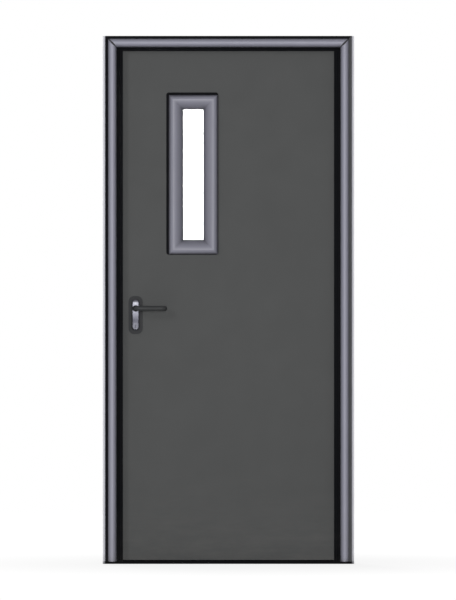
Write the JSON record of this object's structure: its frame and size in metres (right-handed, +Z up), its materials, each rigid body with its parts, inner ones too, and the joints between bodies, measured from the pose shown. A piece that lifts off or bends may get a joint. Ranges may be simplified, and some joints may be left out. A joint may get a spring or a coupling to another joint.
{
  "type": "hollow metal door with frame",
  "caption": "Hollow steel door leaf with a narrow vision panel, lever handle, mortise lock and hinges in a pressed steel frame with mitred corners, sill and rubber seals",
  "frame": {"origin": "centre of the sill's underside at floor level, midway across the frame and midway through its depth", "axes": "+X towards the hinge side, +Y through the doorway away from the push side, +Z up"},
  "size_m": [1, 0.17, 2.1],
  "materials": {
    "frame_paint": "satin light grey paint on steel sheet",
    "window_paint": "satin light grey paint on steel sheet",
    "leaf_paint": "satin dark grey paint on steel sheet",
    "black_rubber": "matt black rubber",
    "black_metal": "fine black powder coat on steel",
    "satin_metal": "satin brushed steel",
    "sill_metal": "black anodised aluminium",
    "bare_steel": "zinc-plated steel",
    "clear_glass": "clear toughened glass"
  },
  "bodies": {
    "frame": {"sill": "sill_metal", "lock_jamb": "frame_paint", "hinge_jamb": "frame_paint", "head": "frame_paint", "lock_wall_gasket": "black_rubber", "hinge_wall_gasket": "black_rubber", "head_wall_gasket": "black_rubber", "lock_stop_seal": "black_rubber", "hinge_stop_seal": "black_rubber", "head_stop_seal": "black_rubber", "anchor_sleeves": "bare_steel", "strike_plate": "bare_steel", "strike_box": "bare_steel", "strike_screws": "bare_steel", "jamb_hinge_plates": "bare_steel", "top_frame_hinge": "bare_steel", "middle_frame_hinge": "bare_steel", "bottom_frame_hinge": "bare_steel", "hinge_pins": "bare_steel", "frame_hinge_screws": "bare_steel"},
    "leaf": {"front_skin": "leaf_paint", "rear_skin": "leaf_paint", "top_channel": "leaf_paint", "bottom_channel": "leaf_paint", "stiffeners": "bare_steel", "bottom_seal": "black_rubber", "lock_edge_plate": "bare_steel", "leaf_hinge_plates": "bare_steel", "top_leaf_hinge": "bare_steel", "middle_leaf_hinge": "bare_steel", "bottom_leaf_hinge": "bare_steel", "leaf_hinge_screws": "bare_steel", "window_lining": "bare_steel", "front_window_frame": "window_paint", "rear_window_frame": "window_paint", "front_window_gasket": "black_rubber", "rear_window_gasket": "black_rubber", "glass_pane": "clear_glass", "glazing_tapes": "black_rubber", "setting_blocks": "black_rubber", "window_screws": "bare_steel", "lock_case": "bare_steel", "lock_cover": "bare_steel", "lock_forend": "bare_steel", "forend_screws": "bare_steel", "cylinder_body": "satin_metal", "cylinder_screw": "bare_steel", "front_base_plate": "black_metal", "rear_base_plate": "black_metal", "front_cover_plate": "satin_metal", "rear_cover_plate": "satin_metal", "plate_bolts": "bare_steel", "lever_bushes": "black_metal"},
    "levers": {"front_lever": "black_metal", "rear_lever": "black_metal", "spindle": "bare_steel", "lock_follower": "bare_steel"},
    "latch": {"latch_bolt": "bare_steel"},
    "dead_bolt": {"dead_bolt": "bare_steel"},
    "key_plug": {"cylinder_plug": "satin_metal"}
  },
  "joints": [
    {"name": "leaf_swing", "type": "hinge", "parent": "frame", "child": "leaf", "pos_m": [0.44175, 0.0593, 1.05], "axis": [0, 0, -1], "range_deg": [0, 165]},
    {"name": "lever_turn", "type": "hinge", "parent": "leaf", "child": "levers", "pos_m": [-0.37, 0.029, 1.016], "axis": [0, 1, 0], "range_deg": [0, 45], "stiffness_Nm_per_rad": 1.5, "springref_deg": -17.19},
    {"name": "latch_slide", "type": "slide", "parent": "leaf", "child": "latch", "axis": [1, 0, 0], "range_m": [0, 0.012]},
    {"name": "plug_turn", "type": "hinge", "parent": "leaf", "child": "key_plug", "pos_m": [-0.37, 0.029, 0.944], "axis": [0, -1, 0], "range_deg": [0, 180]},
    {"name": "dead_bolt_slide", "type": "slide", "parent": "leaf", "child": "dead_bolt", "axis": [-1, 0, 0], "range_m": [0, 0.02]}
  ],
  "couplings": [
    {"joint": "latch_slide", "follows": "lever_turn", "m_per_rad": 0.015278},
    {"joint": "plug_turn", "follows": "dead_bolt_slide", "rad_per_m": 157.08}
  ]
}
